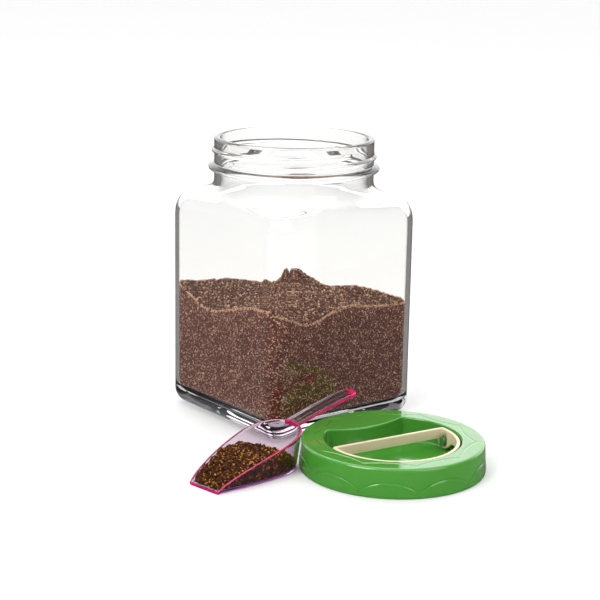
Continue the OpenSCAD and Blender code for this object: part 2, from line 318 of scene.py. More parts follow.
FLOAT, COLOUR = "NodeSocketFloat", "NodeSocketColor"
GLASS_INDEX, ACRYLIC_INDEX = 1.5, 1.49


def node(tree, kind, inputs=None, **settings):
    """A node of that kind, with its settings and the values or links of its inputs."""
    made = tree.nodes.new(kind)
    for key, value in settings.items():
        setattr(made, key, value)
    for key, value in (inputs or {}).items():
        if isinstance(value, bpy.types.NodeSocket):
            tree.links.new(value, made.inputs[key])
        else:
            made.inputs[key].default_value = value
    return made


def rgba(rgb):
    """Red, green and blue with full alpha."""
    return (*rgb, 1.0)


def place_on(tree):
    """The place of a point on its own piece, in metres."""
    return node(tree, "ShaderNodeTexCoord").outputs["Object"]


def noise(tree, place, scale, detail=2.0):
    """Noise from 0 to 1 of that scale and detail."""
    return node(tree, "ShaderNodeTexNoise",
                {"Vector": place, "Scale": scale, "Detail": detail}).outputs["Fac"]


def maths(tree, operation, *values):
    """The result of one operation on numbers or links."""
    return node(tree, "ShaderNodeMath", dict(enumerate(values)), operation=operation).outputs[0]


def blend(tree, factor, first, second):
    """The first colour where factor is 0, the second where it is 1."""
    return node(tree, "ShaderNodeMix", {"Factor": factor, "A": first, "B": second},
                data_type="RGBA").outputs[2]


def scaled(tree, tint, factor):
    """A colour times a number."""
    return node(tree, "ShaderNodeVectorMath", {0: tint, "Scale": factor},
                operation="SCALE").outputs[0]


def remap(tree, value, low, high, to_low=0.0, to_high=1.0, interpolation="LINEAR"):
    """The value, carried over from the range low to high into the range to_low to to_high."""
    return node(tree, "ShaderNodeMapRange",
                {"Value": value, "From Min": low, "From Max": high, "To Min": to_low,
                 "To Max": to_high}, interpolation_type=interpolation).outputs[0]


def swing(tree, place, scale, detail, amount):
    """A factor that drifts around 1: 1 + amount * (noise - 0.5)."""
    centred = maths(tree, "SUBTRACT", noise(tree, place, scale, detail), 0.5)
    return maths(tree, "MULTIPLY_ADD", centred, amount, 1.0)


def dented(tree, strength, distance, height):
    """The normal of a surface dented by a height, as deep as distance in metres."""
    return node(tree, "ShaderNodeBump", {"Strength": strength, "Distance": distance,
                                         "Height": height}).outputs["Normal"]


def new_group(name, inputs, outputs):
    """An empty shader group, its given values and its results; inputs are (name, kind,
    default), outputs (name, kind)."""
    tree = bpy.data.node_groups.new(name, "ShaderNodeTree")
    for label, kind, default in inputs:
        socket = tree.interface.new_socket(label, in_out="INPUT", socket_type=kind)
        socket.default_value = default
    for label, kind in outputs:
        tree.interface.new_socket(label, in_out="OUTPUT", socket_type=kind)
    return tree, node(tree, "NodeGroupInput").outputs, node(tree, "NodeGroupOutput").inputs


def grain_group():
    """Grains of a random tone from dark to mid, a share of them light specks, with broad drifts
    of light and dark."""
    if "Grains" in bpy.data.node_groups:
        return bpy.data.node_groups["Grains"]
    tree, given, result = new_group(
        "Grains",
        [("Tone", COLOUR, (0.5, 0.5, 0.5, 1)), ("Dark", COLOUR, (0, 0, 0, 1)),
         ("Mid", COLOUR, (0, 0, 0, 1)), ("Light", COLOUR, (1, 1, 1, 1)), ("Specks", FLOAT, 0.1),
         ("Drift", FLOAT, 0.2)],
        [("Color", COLOUR), ("Roughness", FLOAT)])
    tone = node(tree, "ShaderNodeSeparateColor", {"Color": given["Tone"]}).outputs
    base = blend(tree, tone["Red"], given["Dark"], given["Mid"])
    speck = maths(tree, "GREATER_THAN", tone["Green"],
                  maths(tree, "SUBTRACT", 1.0, given["Specks"]))
    mixed = blend(tree, maths(tree, "MULTIPLY", speck, tone["Blue"]), base, given["Light"])
    drift = swing(tree, place_on(tree), 45.0, 3.0, given["Drift"])
    tree.links.new(scaled(tree, mixed, drift), result["Color"])
    tree.links.new(remap(tree, tone["Blue"], 0.0, 1.0, 0.35, 0.75), result["Roughness"])
    return tree


def moulding_group():
    """Moulded plastic: a colour with faint cloudiness, a roughness that varies with it, and a
    fine mottled skin."""
    if "Moulding" in bpy.data.node_groups:
        return bpy.data.node_groups["Moulding"]
    tree, given, result = new_group(
        "Moulding",
        [("Color", COLOUR, (0.5, 0.5, 0.5, 1)), ("Cloud", FLOAT, 0.1), ("Roughness", FLOAT, 0.3),
         ("Skin Scale", FLOAT, 1400.0)],
        [("Color", COLOUR), ("Roughness", FLOAT), ("Height", FLOAT)])
    place = place_on(tree)
    cloud = swing(tree, place, 38.0, 4.0, given["Cloud"])
    tree.links.new(scaled(tree, given["Color"], cloud), result["Color"])
    tree.links.new(maths(tree, "MULTIPLY", cloud, given["Roughness"]), result["Roughness"])
    tree.links.new(noise(tree, place, given["Skin Scale"]), result["Height"])
    return tree


def new_material(name):
    """An empty node material and its tree."""
    material = bpy.data.materials.new(name)
    material.use_nodes = True
    material.node_tree.nodes.clear()
    return material, material.node_tree


def show(tree, shader, shadow=None):
    """Send a shader to the surface. With a shadow tint, lamps shine through it."""
    if shadow:
        through = node(tree, "ShaderNodeBsdfTransparent", {"Color": rgba(shadow)})
        ray = node(tree, "ShaderNodeLightPath")
        shader = node(tree, "ShaderNodeMixShader", {
            0: ray.outputs["Is Shadow Ray"], 1: shader.outputs[0], 2: through.outputs[0]})
    node(tree, "ShaderNodeOutputMaterial", {"Surface": shader.outputs[0]})


def finish_from(tree, group, values, strength, distance, height=None, **shader):
    """A Principled BSDF fed by a group's colour and roughness, and by a height."""
    pattern = node(tree, "ShaderNodeGroup", values, node_tree=group).outputs
    return node(tree, "ShaderNodeBsdfPrincipled", {
        "Base Color": pattern["Color"], "Roughness": pattern["Roughness"],
        "Normal": dented(tree, strength, distance, height or pattern["Height"]),
        **{key.replace("_", " "): value for key, value in shader.items()}})


def grain_material(name, dark, mid, light, specks, size=None):
    """Granules: cells of the given size in metres on a packed surface, or, on loose grains,
    each grain's own tone."""
    material, tree = new_material(name)
    if size:
        cells = node(tree, "ShaderNodeTexVoronoi", {"Vector": place_on(tree), "Scale": 1 / size},
                     feature="F1").outputs
        tone, strength = cells["Color"], 1.0
        height = maths(tree, "SUBTRACT", 1.0, cells["Distance"])
    else:
        tone = node(tree, "ShaderNodeAttribute", attribute_name="tone").outputs["Color"]
        height, strength = noise(tree, place_on(tree), 1800.0), 0.35
    values = {"Tone": tone, "Dark": rgba(dark), "Mid": rgba(mid), "Light": rgba(light),
              "Specks": specks, "Drift": 0.35}
    show(tree, finish_from(tree, grain_group(), values, strength, (size or MM) / 2, height,
                           Specular_IOR_Level=0.15))
    return material


def plastic_material(name, tint, roughness, cloud=0.12, bump=0.06, **shader):
    """Glossy moulded plastic."""
    material, tree = new_material(name)
    values = {"Color": rgba(tint), "Cloud": cloud, "Roughness": roughness}
    show(tree, finish_from(tree, moulding_group(), values, bump, 0.2 * MM, **shader))
    return material


def clear_material(name, tint, edge, shadow, roughness, index, wave_scale, wave):
    """Glass or acrylic that bends what is seen through it, is deeper in tint where it is seen edge on,
    and lets lamps through. The edge-on tint is partly the material's own deeper tint and partly painted
    shade: on the glass it is near black, a painted dark line along its edges."""
    material, tree = new_material(name)
    wavy = noise(tree, place_on(tree), wave_scale)
    haze = remap(tree, wavy, 0.0, 1.0, roughness * 0.6, roughness * 1.4)
    # partly own tint, partly painted shade: the colour turns to the edge colour where the surface is
    # seen edge on
    grazing = node(tree, "ShaderNodeLayerWeight", {"Blend": 0.5}).outputs["Facing"]
    deep = remap(tree, grazing, 0.62, 0.92, interpolation="SMOOTHSTEP")
    clear = node(tree, "ShaderNodeBsdfPrincipled", {
        "Base Color": blend(tree, deep, rgba(tint), rgba(edge)), "Roughness": haze,
        "IOR": index, "Transmission Weight": 1.0, "Specular IOR Level": 0.4,
        "Normal": dented(tree, wave, MM, wavy)})
    show(tree, clear, shadow)
    return material


def edge_with_painted_glow(name, tint, shadow, painted_glow):
    """Edge of dyed acrylic, where light trapped in the sheet comes out: a deep tint, the acrylic's own,
    with a painted glow from emission.
    """
    material, tree = new_material(name)
    uneven = remap(tree, noise(tree, place_on(tree), 130.0), 0.3, 0.7, 0.6, 1.15)
    shade = scaled(tree, tint, uneven)
    made = node(tree, "ShaderNodeBsdfPrincipled", {
        "Base Color": shade, "Roughness": 0.15, "IOR": ACRYLIC_INDEX, "Transmission Weight": 0.35,
        "Emission Color": shade, "Emission Strength": painted_glow})
    show(tree, made, shadow)
    return material


# ------------------------------------------------------------------ jar

SHOULDER_LOW, SHOULDER_TOP = 131.0, 158.0
BEAD_Z, BEAD_HALF = 165.5, 2.4
THREAD_Z, THREAD_RISE, THREAD_TURNS, THREAD_START = 170.9, 6.0, 1.28, -183.0
THREAD_HALF, THREAD_FADE = 1.6, 25.0
LIP_ROUND, MOUTH_ROUND = 1.8, 1.4
INNER_HEEL, PUNT = 7.0, 1.1


def square_angles(count):
    """Angles once round, closer together at the corners of a square."""
    even = around(count)
    return even + 0.15 * np.sin(4 * even)


def heel(angle, half, corner, radius, bottom, bend):
    """Reach and height of a rounded heel: bend is 0 underneath and a quarter turn at the side."""
    inset = radius * (1 - np.sin(bend))
    return reach(angle, half - inset, corner - inset), bottom + radius * (1 - np.cos(bend))


def shoulder(angle, half, corner, neck, wall, neck_wall, steps=30):
    """The shoulder's outer curve and, wall by wall below it, its inner curve, as r and z.

    For each angle it is a cubic Bezier curve in r and z that starts upright on the body and
    ends upright on the neck. The inner curve is the outer one less its own normal times a
    wall that goes from the body's to the neck's."""
    body = reach(angle, half, corner)
    inner_body = reach(angle, half - wall, corner - wall)
    cornered = (body - half) / (body.max() - half)
    low_pull, high_pull = 22 + 4.4 * cornered, 13 + 2.2 * cornered
    t = np.linspace(0, 1, steps)[:, None]
    b0, b1, b2, b3 = (1 - t) ** 3, 3 * t * (1 - t) ** 2, 3 * t * t * (1 - t), t ** 3
    r = (b0 + b1) * body + (b2 + b3) * neck
    z = (b0 * SHOULDER_LOW + b1 * (SHOULDER_LOW + low_pull)
         + b2 * (SHOULDER_TOP - high_pull) + b3 * SHOULDER_TOP)
    dr = 6 * t * (1 - t) * (neck - body)
    dz = (3 * (1 - t) ** 2 * low_pull + 3 * t * t * high_pull
          + 6 * t * (1 - t) * (SHOULDER_TOP - high_pull - SHOULDER_LOW - low_pull))
    span = np.sqrt(dr * dr + dz * dz)
    slant = (body - inner_body) / wall
    thick = (wall + (neck_wall - wall) * t) * (slant + (1 - slant) * t)
    return r, z, r - thick * dz / span, z + (wall + (neck_wall - wall) * t) * dr / span


def thread_height(angle, z, depth):
    """How far the screw thread stands out of the neck at angle and height z.

    depth * swell * (1 - (d / half)^2)^0.8, where d is the height above the thread's own line,
    which rises by its pitch in each turn, and swell fades both ends over 25 degrees."""
    total = 0.0
    first = np.mod(np.degrees(angle) - THREAD_START, 360)
    for along in (first, first + 360):
        left = 360 * THREAD_TURNS - along
        d = z - (THREAD_Z + THREAD_RISE * along / 360)
        bump = np.maximum(0, 1 - (d / THREAD_HALF) ** 2) ** 0.8
        total = np.maximum(total, depth * bump * ease(along / THREAD_FADE) * ease(left / THREAD_FADE))
    return total


def jar_rings(jar):
    """Rings of the whole glass: under the base, up the outside, over the lip, down the inside."""
    half, corner, foot = (v / MM for v in (jar.body_width / 2, jar.corner_radius, jar.heel_radius))
    wall, base, neck, mouth = (v / MM for v in (jar.wall, jar.base, jar.neck_radius, jar.mouth_radius))
    angle = square_angles(288)
    top = JAR_TOP
    t = span(0.12, 0.94, 7)
    rows = [(reach(angle, half - foot, corner - foot) * t,
             PUNT * np.maximum(0, 1 - (t / 0.9) ** 2) ** 2),
            heel(angle, half, corner, foot, 0.0, span(0, math.pi / 2, 12)),
            (reach(angle, half, corner), span(foot + 6, SHOULDER_LOW - 4, 9))]
    out_r, out_z, in_r, in_z = shoulder(angle, half, corner, neck, wall, neck - mouth)
    z = column(np.linspace(158.8, 162.6, 4), np.linspace(162.9, 168.1, 24),
               np.linspace(168.6, top - LIP_ROUND - 0.2, 44))
    bead = (jar.bead_radius / MM - neck) * np.maximum(0, 1 - ((z - BEAD_Z) / BEAD_HALF) ** 2) ** 0.6
    thread = thread_height(angle, z, jar.thread_radius / MM - neck)
    b, c = span(0, math.pi / 2, 7), span(math.pi / 2, math.pi, 7)
    rows += [(out_r, out_z), (neck + np.maximum(bead, thread), z),
             arc(neck - LIP_ROUND, top - LIP_ROUND, LIP_ROUND, b),
             arc(mouth + MOUTH_ROUND, top - MOUTH_ROUND, MOUTH_ROUND, c),
             (mouth, span(top - 5, SHOULDER_TOP + 1, 8)), (in_r[::-1], in_z[::-1])]
    half, corner = half - wall, corner - wall
    rows += [(reach(angle, half, corner), span(SHOULDER_LOW - 4, base + INNER_HEEL + 4, 9)),
             heel(angle, half, corner, INNER_HEEL, base, span(math.pi / 2, 0, 9)),
             (reach(angle, half - INNER_HEEL, corner - INNER_HEEL) * span(0.9, 0.15, 5), base)]
    return round_rings(angle, *rows), (0, 0, PUNT), (0, 0, base)


# each mound or hollow in the granules: x, y, height and spread
MOUNDS = np.array([[-56, -42, 7, 19], [-56, 14, -5, 14], [-56, 56, 6, 14], [-32, -56, -6, 11],
                   [2, -56, 4, 14], [56, 34, -7, 17], [20, 56, -4, 15], [43.5, 51.5, 7.5, 5.5],
                   [-20, 56, 3, 18], [0, 0, 2, 24]], float)


def level(x, y, fill):
    """Level of the granules: fill plus, for each mound, height * exp(-distance^2 / 2 spread^2)."""
    dx, dy = x[..., None] - MOUNDS[:, 0], y[..., None] - MOUNDS[:, 1]
    return fill + (MOUNDS[:, 2] * np.exp(-(dx * dx + dy * dy) / (2 * MOUNDS[:, 3] ** 2))).sum(-1)


def ripple(x, y, size, height):
    """Gentle unevenness of poured grains: three crossed sine waves of that size and height."""
    k = 2 * math.pi / size
    return height / 3 * (np.sin(k * x + 1.3 * np.sin(k * y / 1.7)) + np.sin(k * 0.8 * (x + y) + 2)
                         + np.sin(k * 1.3 * (y - 0.4 * x) + 4))


def top_level(x, y, jar):
    """Height of the top of the granules: the mounds with a gentle unevenness."""
    return level(x, y, jar.fill_level / MM) + ripple(x, y, 9, 0.4)


def fill_rings(jar):
    """Rings of the fill: across the jar's floor, up its walls to the level, in over the top."""
    gap = 0.25
    half = (jar.body_width / 2 - jar.wall) / MM - gap
    corner = (jar.corner_radius - jar.wall) / MM - gap
    bottom = jar.base / MM + gap
    angle = square_angles(256)
    side = reach(angle, half, corner)
    x, y = side * np.cos(angle), side * np.sin(angle)
    low = bottom + INNER_HEEL
    t = span(0.985, 0.03, 46)
    rings = round_rings(
        angle, heel(angle, half, corner, INNER_HEEL, bottom, span(0, math.pi / 2, 8)),
        (side, low + (top_level(x, y, jar) - low) * span(0.06, 1, 14)),
        (t * side, top_level(t * x, t * y, jar)))
    middle = float(level(np.zeros(1), np.zeros(1), jar.fill_level / MM)[0])
    return rings, (0, 0, bottom), (0, 0, middle)


def fill_grains(jar, count, highlight_line_count):
    """Places, radii and paleness of the loose grains: count of them even over the whole top, and a line
    of finer ones where the top meets the glass, made paler as a painted highlight on the top's lit
    edge."""
    rng = np.random.default_rng(11)
    half = (jar.body_width / 2 - jar.wall) / MM - 0.9
    corner = (jar.corner_radius - jar.wall) / MM - 0.9
    x, y = rng.uniform(-half, half, (2, count))
    inside = np.hypot(x, y) < reach(np.arctan2(y, x), half, corner)
    x, y = x[inside], y[inside]
    radii = rng.uniform(0.55, 0.95, len(x))
    z = top_level(x, y, jar) + rng.uniform(-0.1, 0.9, len(x))
    turn = rng.uniform(0, 2 * math.pi, highlight_line_count)
    side = reach(turn, half, corner) - rng.uniform(0, 0.5, highlight_line_count)
    line_x, line_y = side * np.cos(turn), side * np.sin(turn)
    line_z = top_level(line_x, line_y, jar) + rng.uniform(-0.3, 1.3, highlight_line_count)
    places = np.concatenate([np.stack([x, y, z], -1), np.stack([line_x, line_y, line_z], -1)])
    # painted highlight: the grains along the glass are paler, standing in for light on the top's edge
    pale = np.repeat([0.0, 0.6], [len(x), highlight_line_count])
    return places, np.concatenate([radii, rng.uniform(0.45, 0.72, highlight_line_count)]), pale


# ------------------------------------------------------------------ lid

PETALS, PANEL, GROOVE = 10, 0.32, 0.34
SKIRT_DRAFT, TOP_ROUND, WELL_ROUND, EDGE_ROUND = 0.8, 2.0, 1.2, 0.5
LUGS, LUG_ANGLE, LUG_Z, LUG_HALF, LUG_DEPTH = 8, 34.0, 2.6, 1.2, 1.4
RING_IN, RING_SHARE = 45.0, 0.6
FLOOR_ROUND, WELL_DRAFT = 1.5, 0.15
PIVOT_HOLE, HOLE_IN, HOLE_OUT = 3.0, 34.0, 45.0
BAND_OVER_PIVOT, EAR_DROP, EAR_SPREAD = 7.5, 6.0, 6.5


def petal_arch(angle):
    """1 in the middle of a petal and 0 between petals: (1 - (offset / half a petal)^2)^0.75."""
    step = 2 * math.pi / PETALS
    offset = (np.mod(angle, step) - step / 2) / (step / 2)
    return np.maximum(0, 1 - offset ** 2) ** 0.75


def well_edge(angle, radius, platform, bow=55.0):
    """Distance from the lid's centre to the well's wall: its circle, or the platform's front
    edge v = platform + u^2 / (2 bow) where that is nearer, with a soft corner between."""
    c, s = np.cos(angle), np.sin(angle)
    under = s * s - 2 * platform / bow * c * c
    front = np.where((s > 0.3) & (under > 0.0),
                     2 * platform / np.maximum(s + np.sqrt(np.maximum(under, 0)), 0.05), 1e3)
    return soft_min(front, radius, 2.2)


def lugs(angle, z):
    """How far the inside thread stands out: eight lugs, each an eighth of a pitch higher."""
    step = 360 / LUGS
    place = np.mod(np.degrees(angle), 360)
    number = np.floor(place / step)
    along = place - number * step
    d = z - (LUG_Z + number * THREAD_RISE / LUGS)
    bump = np.maximum(0, 1 - (d / (LUG_HALF + 0.3)) ** 2) ** 0.7
    return LUG_DEPTH * bump * ease(along / 3) * ease((LUG_ANGLE - along) / 3)


def lid_rings(lid):
    """Rings of the lid: out under the well, around the channel, up the skirt, in over the top."""
    radius, height, inside = (v / MM for v in (lid.radius, lid.height, lid.skirt_inside))
    well, floor, wall = (v / MM for v in (lid.well_radius, lid.well_floor, lid.wall))
    angle = around(560)
    edge = well_edge(angle, well, lid.platform / MM)
    ceiling, under = height - wall, floor - wall
    # the pocket under the platform, the well's wall and the channel beside the skirt
    pocket = under + (ceiling - under) * ease((well - edge - wall - 1) / 4)
    pocket_in = np.minimum(edge + wall, well - 0.4)
    b = span(-math.pi / 2, 0, 4)
    rows = [(edge * span(0.1, 0.95, 6), under), (pocket_in, under), (pocket_in + 0.1, pocket),
            ((pocket_in + well) / 2, pocket), (well - 0.1, pocket), (well, under),
            arc(well + wall - EDGE_ROUND, under + EDGE_ROUND, EDGE_ROUND, b),
            (well + wall, span(under + 3, ceiling - 0.8, 4)), (well + wall + 0.3, ceiling - 0.1),
            (span(well + wall + 1, inside - 0.6, 4), ceiling)]
    z = span(ceiling - 0.6, 0.6, 32)
    b = span(math.pi, 2 * math.pi, 7)
    middle, round_r = (inside + radius - PANEL) / 2, (radius - PANEL - inside) / 2
    rows += [(inside - lugs(angle, z), z),
             arc(middle, EDGE_ROUND, round_r, b, EDGE_ROUND)]
    # outside of the skirt, with a raised scalloped panel along its foot
    z = span(0.9, height - TOP_ROUND, 44)
    over = 2.3 + 6.9 * petal_arch(angle) - z
    raised = (ease(over / 0.45 + 0.5) + 0.4 * np.exp(-((over - 0.6) / 0.4) ** 2)
              - np.exp(-((over + 0.6) / 0.4) ** 2))
    plain = radius - PANEL - 0.05
    top_r = plain - SKIRT_DRAFT * (1 - TOP_ROUND / height)
    b = span(0.12, math.pi / 2, 8)
    rows += [(plain - SKIRT_DRAFT * z / height + (PANEL - 0.1) * raised * ease(z / 1.2), z),
             arc(top_r - TOP_ROUND, height - TOP_ROUND, TOP_ROUND, b)]
    # ring and platform, with a fine groove in petals
    lip, ring_out = edge + WELL_ROUND, top_r - TOP_ROUND
    t = span(0.02, 0.98, 34)
    r = np.where(t < RING_SHARE, ring_out + (RING_IN - ring_out) * t / RING_SHARE,
                 RING_IN + (lip - RING_IN) * (t - RING_SHARE) / (1 - RING_SHARE))
    line = 51.3 - 5.3 * petal_arch(angle)
    rows.append((r, height - 0.02 - GROOVE * np.exp(-((r - line) / 0.42) ** 2)))
    # down the well's wall and across its floor
    b, c = span(math.pi / 2, math.pi, 6), span(0, math.pi / 2, 6)
    foot = edge - WELL_DRAFT
    rows += [arc(lip, height - WELL_ROUND, WELL_ROUND, b),
             (edge - WELL_DRAFT * span(0.1, 0.9, 4), span(height - 2.5, floor + 2.2, 4)),
             (foot - FLOOR_ROUND * (1 - np.cos(c)), floor + FLOOR_ROUND - FLOOR_ROUND * np.sin(c)),
             ((foot - FLOOR_ROUND) * span(0.9, 0.08, 8), floor)]
    return round_rings(angle, *rows), (0, 0, under), (0, 0, floor)


def handle_rings(lid):
    """Rings of the handle's band, carried once round its D-shaped path.

    The path is a bow, an arc of the mid radius, closed by the straight bar. Its corners are
    softened by averaging over a few millimetres. The cross-section is an oblong with rounded
    corners, whose lower edge drops by drop * exp(-(v / spread)^2) beside the pivot line at v = 0."""
    band, fine, soft, r = lid.band / MM, 2048, 0.8, 0.55
    mid = lid.bow_radius / MM - band / 2
    bar_v = lid.bar_back / MM - band / 2
    top = PIVOT_Z + BAND_OVER_PIVOT
    start = math.asin(bar_v / mid)
    bow = np.linspace(start, -math.pi - start, 1600)
    bar = np.linspace(-1, 1, 900)[1:-1, None] * [mid * math.cos(start), 0] + [0, bar_v]
    path = np.vstack([np.stack([mid * np.cos(bow), mid * np.sin(bow)], -1), bar])
    steps = np.linalg.norm(np.roll(path, -1, 0) - path, axis=1)
    where = np.concatenate([[0], np.cumsum(steps)])
    even = np.linspace(0, where[-1], fine, endpoint=False)
    closed = np.vstack([path, path[:1]])
    path = np.stack([np.interp(even, where, closed[:, i]) for i in (0, 1)], -1)
    kernel = np.exp(-(np.fft.fftfreq(fine, 1 / fine) * where[-1] / fine / soft) ** 2 / 2)
    kernel /= kernel.sum()
    path = np.real(np.fft.ifft(np.fft.fft(path, axis=0) * np.fft.fft(kernel)[:, None], axis=0))[::4]
    tangent = np.roll(path, -1, 0) - np.roll(path, 1, 0)
    tangent /= np.linalg.norm(tangent, axis=1, keepdims=True)
    side = np.stack([-tangent[:, 1], tangent[:, 0]], -1)
    v = path[:, 1]
    low = (top - lid.band_height / MM - EAR_DROP * np.exp(-(v / EAR_SPREAD) ** 2)
           * ease((np.abs(path[:, 0]) - mid + 4) / 2.5) * ease((18 - np.abs(v)) / 6))[:, None]
    bend = np.linspace(0, math.pi / 2, 5)
    across, up = band / 2 - r + r * np.cos(bend), -r + r * np.sin(bend)
    across = np.concatenate([across, -across[::-1], -across, across[::-1]])
    height = np.concatenate([top + up + 0 * low, top + up[::-1] + 0 * low, low - up,
                             low - up[::-1]], 1)
    flat = path[:, None] + side[:, None] * across[None, :, None]
    return np.concatenate([flat, height[..., None]], -1)


# ------------------------------------------------------------------ scoop

RIM_FRONT, RIM_POWER, FLARE = 1.1, 0.68, 0.13
WIDEST, HEEL, SCOOP_INNER_HEEL, RIM_SHARE = 0.69, 1.6, 1.2, 0.35
# faces that get a painted glow: the rim in pink and the heel in lilac
RIM_FACES, HEEL_FACES = slice(27, 30), slice(11, 14)
GRIP_THICK, GRIP_RIDGE, GRIP_RISE = 3.0, 1.0, 8.5
HEAP_MIDDLE, HEAP_FRONT = 36.0, 2.2


def rim_z(s, scoop):
    """Height of the rim s along from the tip: front + (back - front) * (s / length)^0.68."""
    share = np.clip(s / (scoop.bowl_length / MM), 0, 1)
    return RIM_FRONT + (scoop.rim_height / MM - RIM_FRONT) * share ** RIM_POWER


def bowl_outline(scoop, steps):
    """Outline of the bowl's base from the left of the tip round the back to its right.

    Half-width tip + (bowl - tip) sin(90 s / widest) as far as the widest place, then half an
    ellipse. Also gives the outward direction in plan at each point."""
    long, tip, wide = (v / MM for v in (scoop.bowl_length, scoop.tip_width / 2, scoop.bowl_width / 2))
    widest = WIDEST * long
    u = np.linspace(0, 1, 400)
    bend = math.pi / 2 * np.linspace(0, 1, 200)[1:]
    s = np.concatenate([widest * u, widest + (long - widest) * np.sin(bend)])
    w = np.concatenate([tip + (wide - tip) * np.sin(math.pi / 2 * u), wide * np.cos(bend)])
    s, w = np.concatenate([s, s[-2::-1]]), np.concatenate([w, -w[-2::-1]])
    along = np.concatenate([[0], np.cumsum(np.hypot(np.diff(s), np.diff(w)))])
    even = np.linspace(0, along[-1], steps)
    s, w = np.interp(even, along, s), np.interp(even, along, w)
    ds, dw = np.gradient(s), np.gradient(w)
    span = np.hypot(ds, dw)
    return s, w, -dw / span, ds / span


def bowl_rings(scoop):
    """Closed cross-sections of the bowl, one for each point of its outline.

    Each runs from the middle line of the floor's underside out to the heel, up the outer wall,
    which leans out by the flare, over the rounded rim, and down the inner wall to the middle
    line of the floor's top. A row is how far out of the outline it lies, its height, and its
    share of the way from the middle line."""
    thick = scoop.wall / MM
    s, w, ns, nw = bowl_outline(scoop, 241)
    s = np.maximum(s, 0.01)
    ns[0] = ns[-1] = 0.0  # the tip is cut straight across
    rim = np.maximum(rim_z(s, scoop), thick + 0.25)
    mid_s = np.minimum(s, WIDEST * scoop.bowl_length / MM)
    bend = span(0, math.pi / 2, 6)
    heel_here = np.minimum(HEEL, rim * 0.45)
    top = rim - thick * RIM_SHARE
    up = heel_here + (top - heel_here) * span(0, 1, 12)[1:]
    b = span(0, math.pi, 7)[1:-1]
    low = np.minimum(thick + SCOOP_INNER_HEEL, top)
    down = low + (top - low) * span(1, 0, 12)
    c = bend[::-1][1:]
    step = low - thick
    rows = [(-HEEL, 0.0, span(0, 1, 11)[:-1]),
            (-heel_here + heel_here * np.sin(bend), heel_here * (1 - np.cos(bend)), 1.0),
            (FLARE * up, up, 1.0),
            (FLARE * top - thick / 2 + thick / 2 * np.cos(b),
             top + thick * RIM_SHARE * np.sin(b), 1.0),
            (FLARE * down - thick, down, 1.0),
            (-thick - step + step * np.sin(c) + FLARE * low * np.sin(c),
             thick + step * (1 - np.cos(c)), 1.0),
            (-thick - step, thick, span(1, 0, 11)[1:])]
    push, lift, mix = (np.vstack(part) for part in zip(
        *(np.broadcast_arrays(*row, rim[None])[:3] for row in rows)))
    x = mid_s + (s + push * ns - mid_s) * mix
    y = (w + push * nw) * mix
    return np.stack([x, y, lift], -1)


def bowl_mesh(scoop):
    """Points, quads, triangles and their material numbers: a grid over the bowl's
    cross-sections, its two front sections closed by strips across the wall, and the middle
    line welded."""
    grid = bowl_rings(scoop)
    rows, n = grid.shape[:2]
    index = np.arange(rows * n).reshape(rows, n)
    quads = np.stack([index[:-1, :-1], index[:-1, 1:], index[1:, 1:], index[1:, :-1]], -1)
    spots = np.zeros((rows - 1, n - 1), int)
    spots[RIM_FACES], spots[HEEL_FACES] = 1, 2
    middle = rows // 2
    k = np.arange(middle - 1)
    strip = np.stack([k, k + 1, rows - 2 - k, rows - 1 - k], -1)
    quads = np.concatenate([quads.reshape(-1, 4), index[:, 0][strip], index[:, -1][strip[:, ::-1]]])
    tip = np.array([middle - 1, middle, middle + 1])
    loose = np.stack([index[tip, 0], index[tip[::-1], -1]])
    spots = np.concatenate([spots.ravel(), np.ones(2 * len(strip), int)])
    points = grid.reshape(-1, 3)
    _, kept, merged = np.unique(np.round(points, 3), axis=0, return_index=True, return_inverse=True)
    merged = merged.reshape(-1)
    quads, loose = merged[quads], merged[loose]
    same = quads == np.roll(quads, -1, 1)
    full, part = same.sum(1) == 0, same.sum(1) == 1
    tris = np.concatenate([quads[part][~same[part]].reshape(-1, 3), loose])
    points = points[kept]
    quads, tris = outward(points, [quads[full], tris])
    return points, quads, tris, np.concatenate([spots[full], spots[part], [1, 1]])


def grip_rings(scoop):
    """Cross-sections of the scoop's handle from the bowl to its round end.

    The underside rises by 8.5 mm along a curve that is 55% sine and 45% straight. The section
    is a flat bar with rounded edges and a low ridge along the middle of its top."""
    start = scoop.bowl_length / MM + FLARE * scoop.rim_height / MM - 0.9
    end, half = scoop.full_length / MM, scoop.grip_width / MM / 2
    run = end - start
    base = scoop.rim_height / MM - GRIP_THICK
    turn = half / run
    u = np.concatenate([np.linspace(0, 1 - turn, 40),
                        1 - turn + turn * np.sin(np.linspace(0, math.pi / 2, 14)[1:])])
    past = np.clip((u - (1 - turn)) / turn, 0, 1)
    width = half * np.sqrt(np.maximum(1 - past ** 2, 0.0004))
    rise = GRIP_RISE * (0.55 * np.sin(math.pi / 2 * u) + 0.45 * u)
    q = around(48)
    c, d = np.cos(q), np.sin(q)
    flat, tall = np.sign(c) * np.abs(c) ** 0.45, np.sign(d) * np.abs(d) ** 0.55
    y = width[:, None] * flat[None]
    ridge = np.exp(-(y / 1.3) ** 2) * GRIP_RIDGE * ease((1 - u) / 0.12)[:, None] * (d > 0)
    slim = np.minimum(1, width / 1.2)[:, None]
    z = (base + rise)[:, None] + GRIP_THICK / 2 + GRIP_THICK / 2 * tall[None] * slim + ridge
    x = (start + run * u)[:, None] + 0 * y
    return np.stack([x, y, z], -1), (end, 0, base + rise[-1] + GRIP_THICK / 2)


def heap_top(s, w, scoop):
    """Height of the heap in the scoop: a crest 15 mm high that falls by 0.7 mm a millimetre
    behind 49 mm from the tip, and stays 0.7 mm under the rim in front."""
    under_rim = rim_z(s, scoop) - 0.7
    bulk = 15.2 - 0.68 * np.maximum(s - 49 + 0.18 * w, 0) - 0.004 * w * w
    return np.maximum(soft_min(bulk, under_rim, 1.2) + ripple(s, w, 7, 0.9),
                      scoop.wall / MM + 0.35)


